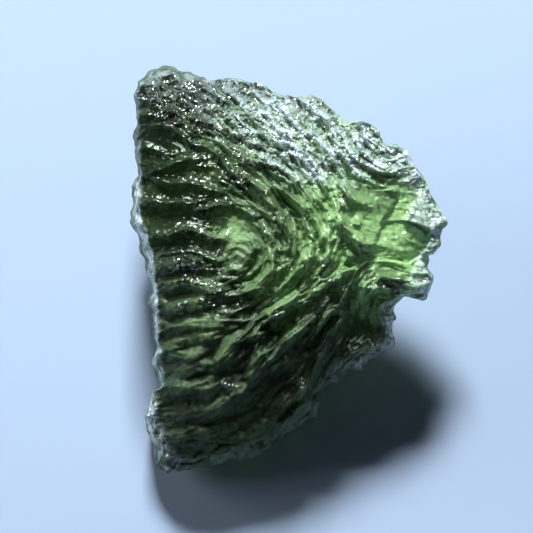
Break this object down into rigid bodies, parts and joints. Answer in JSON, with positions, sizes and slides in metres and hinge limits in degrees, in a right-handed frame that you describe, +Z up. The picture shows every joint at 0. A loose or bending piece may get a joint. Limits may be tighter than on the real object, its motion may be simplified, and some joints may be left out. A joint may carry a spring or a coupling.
{
  "type": "moldavite",
  "caption": "Natural green glass stone with a ridged, fan-shaped face, a straight broken side and a thin frilled edge, lying on a flat spot of its underside.",
  "frame": {"origin": "middle of the stone's box seen from above, at the level of the surface it lies on", "axes": "+Z up; +Y along the stone from its low, thick lower end to its raised upper end; +X from the straight broken side to the thin frilled side"},
  "size_m": [0.024, 0.0304, 0.0142],
  "materials": {
    "green_glass": "etched natural glass, clear green where thin and almost black where thick"
  },
  "bodies": {
    "root": {"moldavite": "green_glass"}
  },
  "joints": []
}
